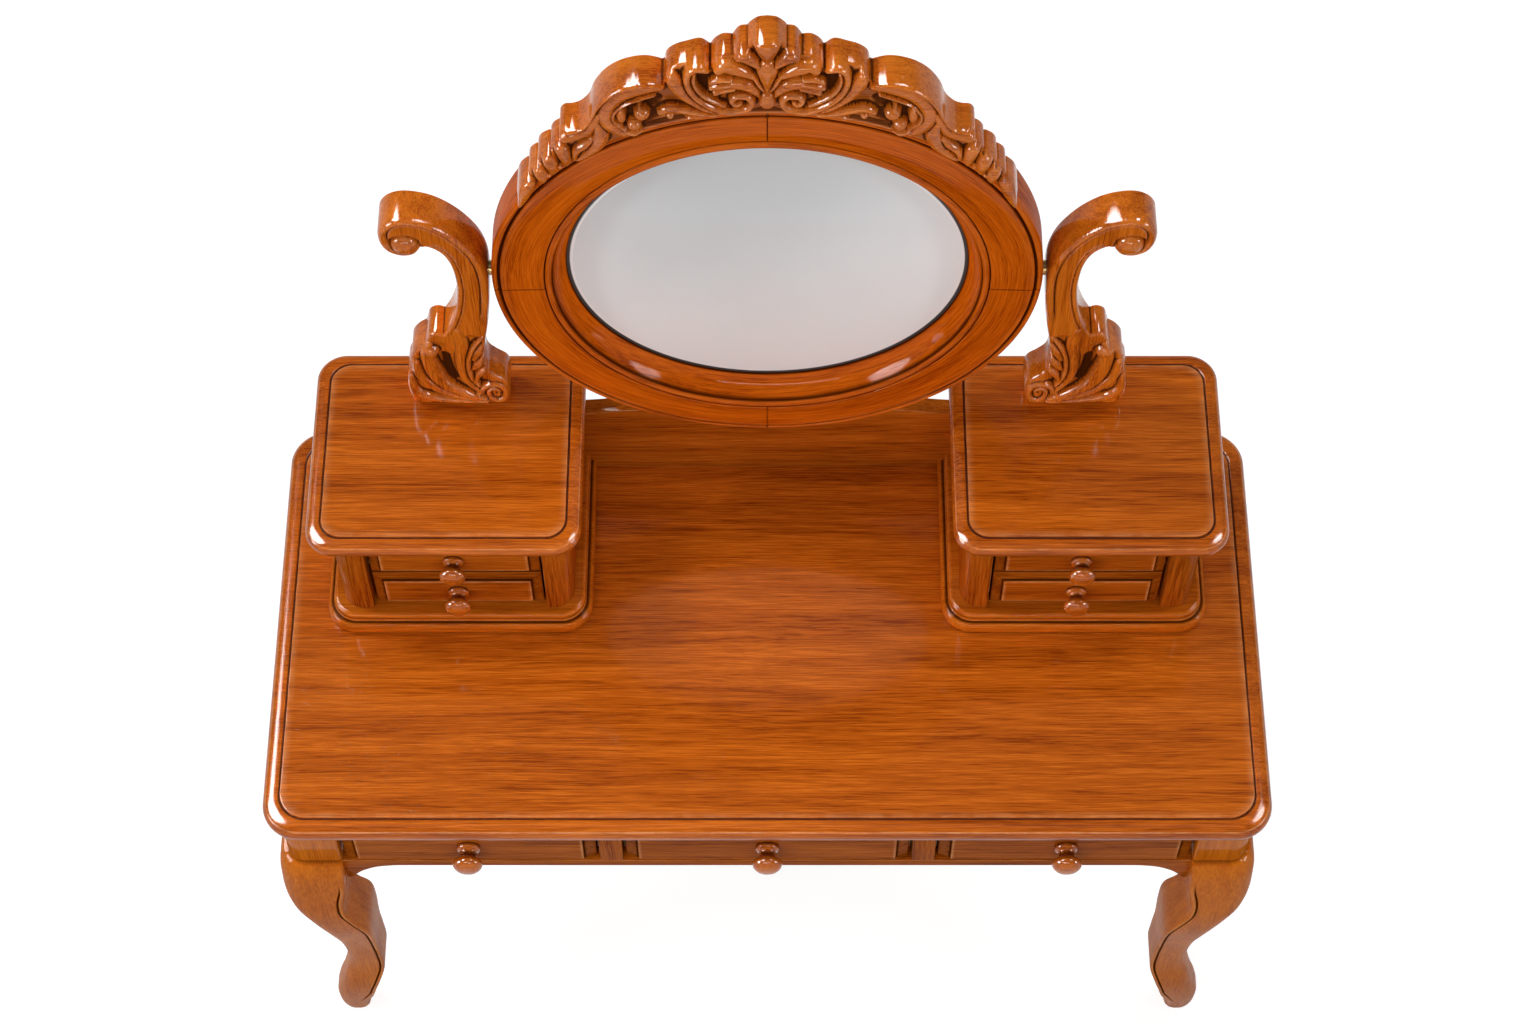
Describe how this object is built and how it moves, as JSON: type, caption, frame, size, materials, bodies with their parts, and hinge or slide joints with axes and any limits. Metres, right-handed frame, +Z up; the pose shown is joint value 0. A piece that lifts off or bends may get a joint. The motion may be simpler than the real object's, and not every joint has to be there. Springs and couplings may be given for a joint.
{
  "type": "dressing table",
  "caption": "Dressing table with cabriole legs, drawers under the top and in side pedestals, and an oval mirror with a carved crown that tilts between scroll supports.",
  "frame": {"origin": "on the floor, under the middle of the table's bounding box", "axes": "+Z up, -Y towards the person who sits at the table, X along the table top"},
  "size_m": [1.2, 0.5724, 1.6265],
  "materials": {
    "lacquered_wood": "high gloss lacquer over reddish brown wood",
    "drawer_wood": "pale plain wood inside",
    "backing_wood": "plain board behind the mirror",
    "mirror_glass": "silvered glass",
    "brass": "turned and polished"
  },
  "bodies": {
    "carcass": {"table_top": "lacquered_wood", "leg_front_left": "lacquered_wood", "leg_front_right": "lacquered_wood", "leg_rear_left": "lacquered_wood", "leg_rear_right": "lacquered_wood", "lower_front_rail": "lacquered_wood", "upper_front_rail": "lacquered_wood", "rear_apron": "lacquered_wood", "side_apron_left": "lacquered_wood", "side_apron_right": "lacquered_wood", "drawer_divider_left": "lacquered_wood", "drawer_divider_right": "lacquered_wood", "dust_board": "drawer_wood", "back_panel": "lacquered_wood", "pedestal_base_left": "lacquered_wood", "pedestal_outer_side_left": "lacquered_wood", "pedestal_inner_side_left": "lacquered_wood", "pedestal_back_left": "lacquered_wood", "pedestal_shelf_left": "drawer_wood", "pedestal_top_left": "lacquered_wood", "pedestal_base_right": "lacquered_wood", "pedestal_outer_side_right": "lacquered_wood", "pedestal_inner_side_right": "lacquered_wood", "pedestal_back_right": "lacquered_wood", "pedestal_shelf_right": "drawer_wood", "pedestal_top_right": "lacquered_wood", "mirror_support_left": "lacquered_wood", "mirror_support_right": "lacquered_wood"},
    "main_drawer_left": {"main_drawer_left_front": "lacquered_wood", "main_drawer_left_box": "drawer_wood", "main_drawer_left_knob": "lacquered_wood"},
    "main_drawer_centre": {"main_drawer_centre_front": "lacquered_wood", "main_drawer_centre_box": "drawer_wood", "main_drawer_centre_knob": "lacquered_wood"},
    "main_drawer_right": {"main_drawer_right_front": "lacquered_wood", "main_drawer_right_box": "drawer_wood", "main_drawer_right_knob": "lacquered_wood"},
    "small_drawer_lower_left": {"small_drawer_lower_left_front": "lacquered_wood", "small_drawer_lower_left_box": "drawer_wood", "small_drawer_lower_left_knob": "lacquered_wood"},
    "small_drawer_upper_left": {"small_drawer_upper_left_front": "lacquered_wood", "small_drawer_upper_left_box": "drawer_wood", "small_drawer_upper_left_knob": "lacquered_wood"},
    "small_drawer_lower_right": {"small_drawer_lower_right_front": "lacquered_wood", "small_drawer_lower_right_box": "drawer_wood", "small_drawer_lower_right_knob": "lacquered_wood"},
    "small_drawer_upper_right": {"small_drawer_upper_right_front": "lacquered_wood", "small_drawer_upper_right_box": "drawer_wood", "small_drawer_upper_right_knob": "lacquered_wood"},
    "mirror": {"mirror_frame_upper_left": "lacquered_wood", "mirror_frame_upper_right": "lacquered_wood", "mirror_frame_lower_left": "lacquered_wood", "mirror_frame_lower_right": "lacquered_wood", "mirror_inner_moulding": "lacquered_wood", "mirror_glass": "mirror_glass", "mirror_backing_board": "backing_wood", "mirror_crown": "lacquered_wood", "mirror_pivot_left": "brass", "mirror_pivot_right": "brass"}
  },
  "joints": [
    {"name": "main_drawer_left_slide", "type": "slide", "parent": "carcass", "child": "main_drawer_left", "axis": [0, -1, 0], "range_m": [0, 0.3]},
    {"name": "main_drawer_centre_slide", "type": "slide", "parent": "carcass", "child": "main_drawer_centre", "axis": [0, -1, 0], "range_m": [0, 0.3]},
    {"name": "main_drawer_right_slide", "type": "slide", "parent": "carcass", "child": "main_drawer_right", "axis": [0, -1, 0], "range_m": [0, 0.3]},
    {"name": "small_drawer_lower_left_slide", "type": "slide", "parent": "carcass", "child": "small_drawer_lower_left", "axis": [0, -1, 0], "range_m": [0, 0.13]},
    {"name": "small_drawer_upper_left_slide", "type": "slide", "parent": "carcass", "child": "small_drawer_upper_left", "axis": [0, -1, 0], "range_m": [0, 0.13]},
    {"name": "small_drawer_lower_right_slide", "type": "slide", "parent": "carcass", "child": "small_drawer_lower_right", "axis": [0, -1, 0], "range_m": [0, 0.13]},
    {"name": "small_drawer_upper_right_slide", "type": "slide", "parent": "carcass", "child": "small_drawer_upper_right", "axis": [0, -1, 0], "range_m": [0, 0.13]},
    {"name": "mirror_tilt", "type": "hinge", "parent": "carcass", "child": "mirror", "pos_m": [0, 0.21925, 1.178], "axis": [1, 0, 0], "range_deg": [-15, 20]}
  ]
}
